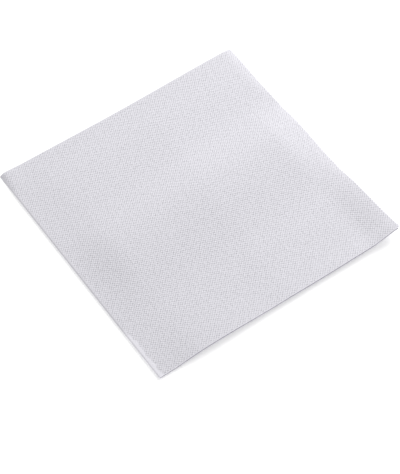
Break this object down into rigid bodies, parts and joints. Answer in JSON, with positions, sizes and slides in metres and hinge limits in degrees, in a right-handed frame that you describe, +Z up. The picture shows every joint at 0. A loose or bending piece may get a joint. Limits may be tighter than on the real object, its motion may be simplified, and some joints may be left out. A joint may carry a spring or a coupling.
{
  "type": "paper napkin",
  "caption": "White embossed paper napkin, a square sheet folded in half twice into quarters, lying on a surface.",
  "frame": {"origin": "on the surface that the napkin lies on, under the middle of its folded square", "axes": "+Z up; the first fold runs along the -X edge, the second fold along the -Y edge, and the cut edges lie along +X and +Y"},
  "size_m": [0.2004, 0.2, 0.0107],
  "materials": {
    "paper": "matt white tissue with an all-over dot emboss"
  },
  "bodies": {
    "root": {"napkin": "paper"}
  },
  "joints": []
}
